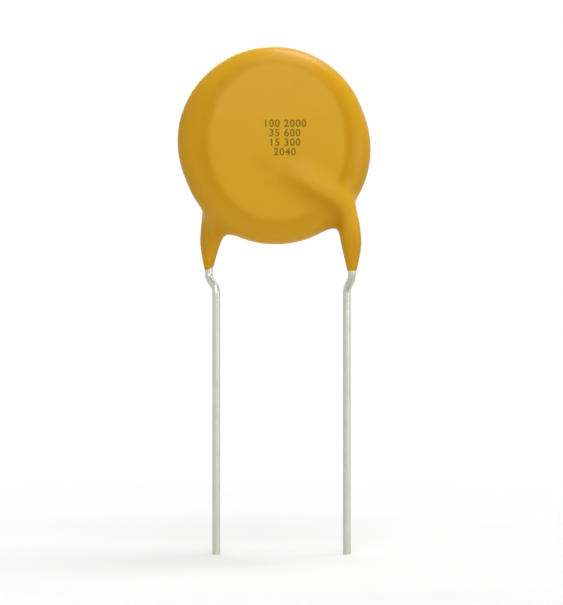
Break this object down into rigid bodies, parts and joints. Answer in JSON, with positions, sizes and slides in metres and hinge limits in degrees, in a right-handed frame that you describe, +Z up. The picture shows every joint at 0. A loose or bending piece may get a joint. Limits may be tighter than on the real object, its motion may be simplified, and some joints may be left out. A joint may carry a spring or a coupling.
{
  "type": "ceramic disc capacitor",
  "caption": "Round ceramic disc capacitor in an ochre dipped epoxy coat, with kinked tinned wire leads in line for soldering upright into a circuit board.",
  "frame": {"origin": "midway between the leads on the seating plane, where the kinks end and the leads turn straight", "axes": "+Z up through the disc, +X along the row of leads to the right lead, -Y out of the front face, which carries the right lead"},
  "size_m": [0.0148, 0.0038, 0.0389],
  "materials": {
    "epoxy": "glossy dipped epoxy",
    "tinned_wire": "bright tin",
    "fired_ceramic": "matt",
    "fired_silver": "matt silver",
    "solder": "bright"
  },
  "bodies": {
    "root": {"epoxy_coat": "epoxy", "front_lead": "tinned_wire", "rear_lead": "tinned_wire", "ceramic_disc": "fired_ceramic", "front_electrode": "fired_silver", "rear_electrode": "fired_silver", "front_solder": "solder", "rear_solder": "solder"}
  },
  "joints": []
}
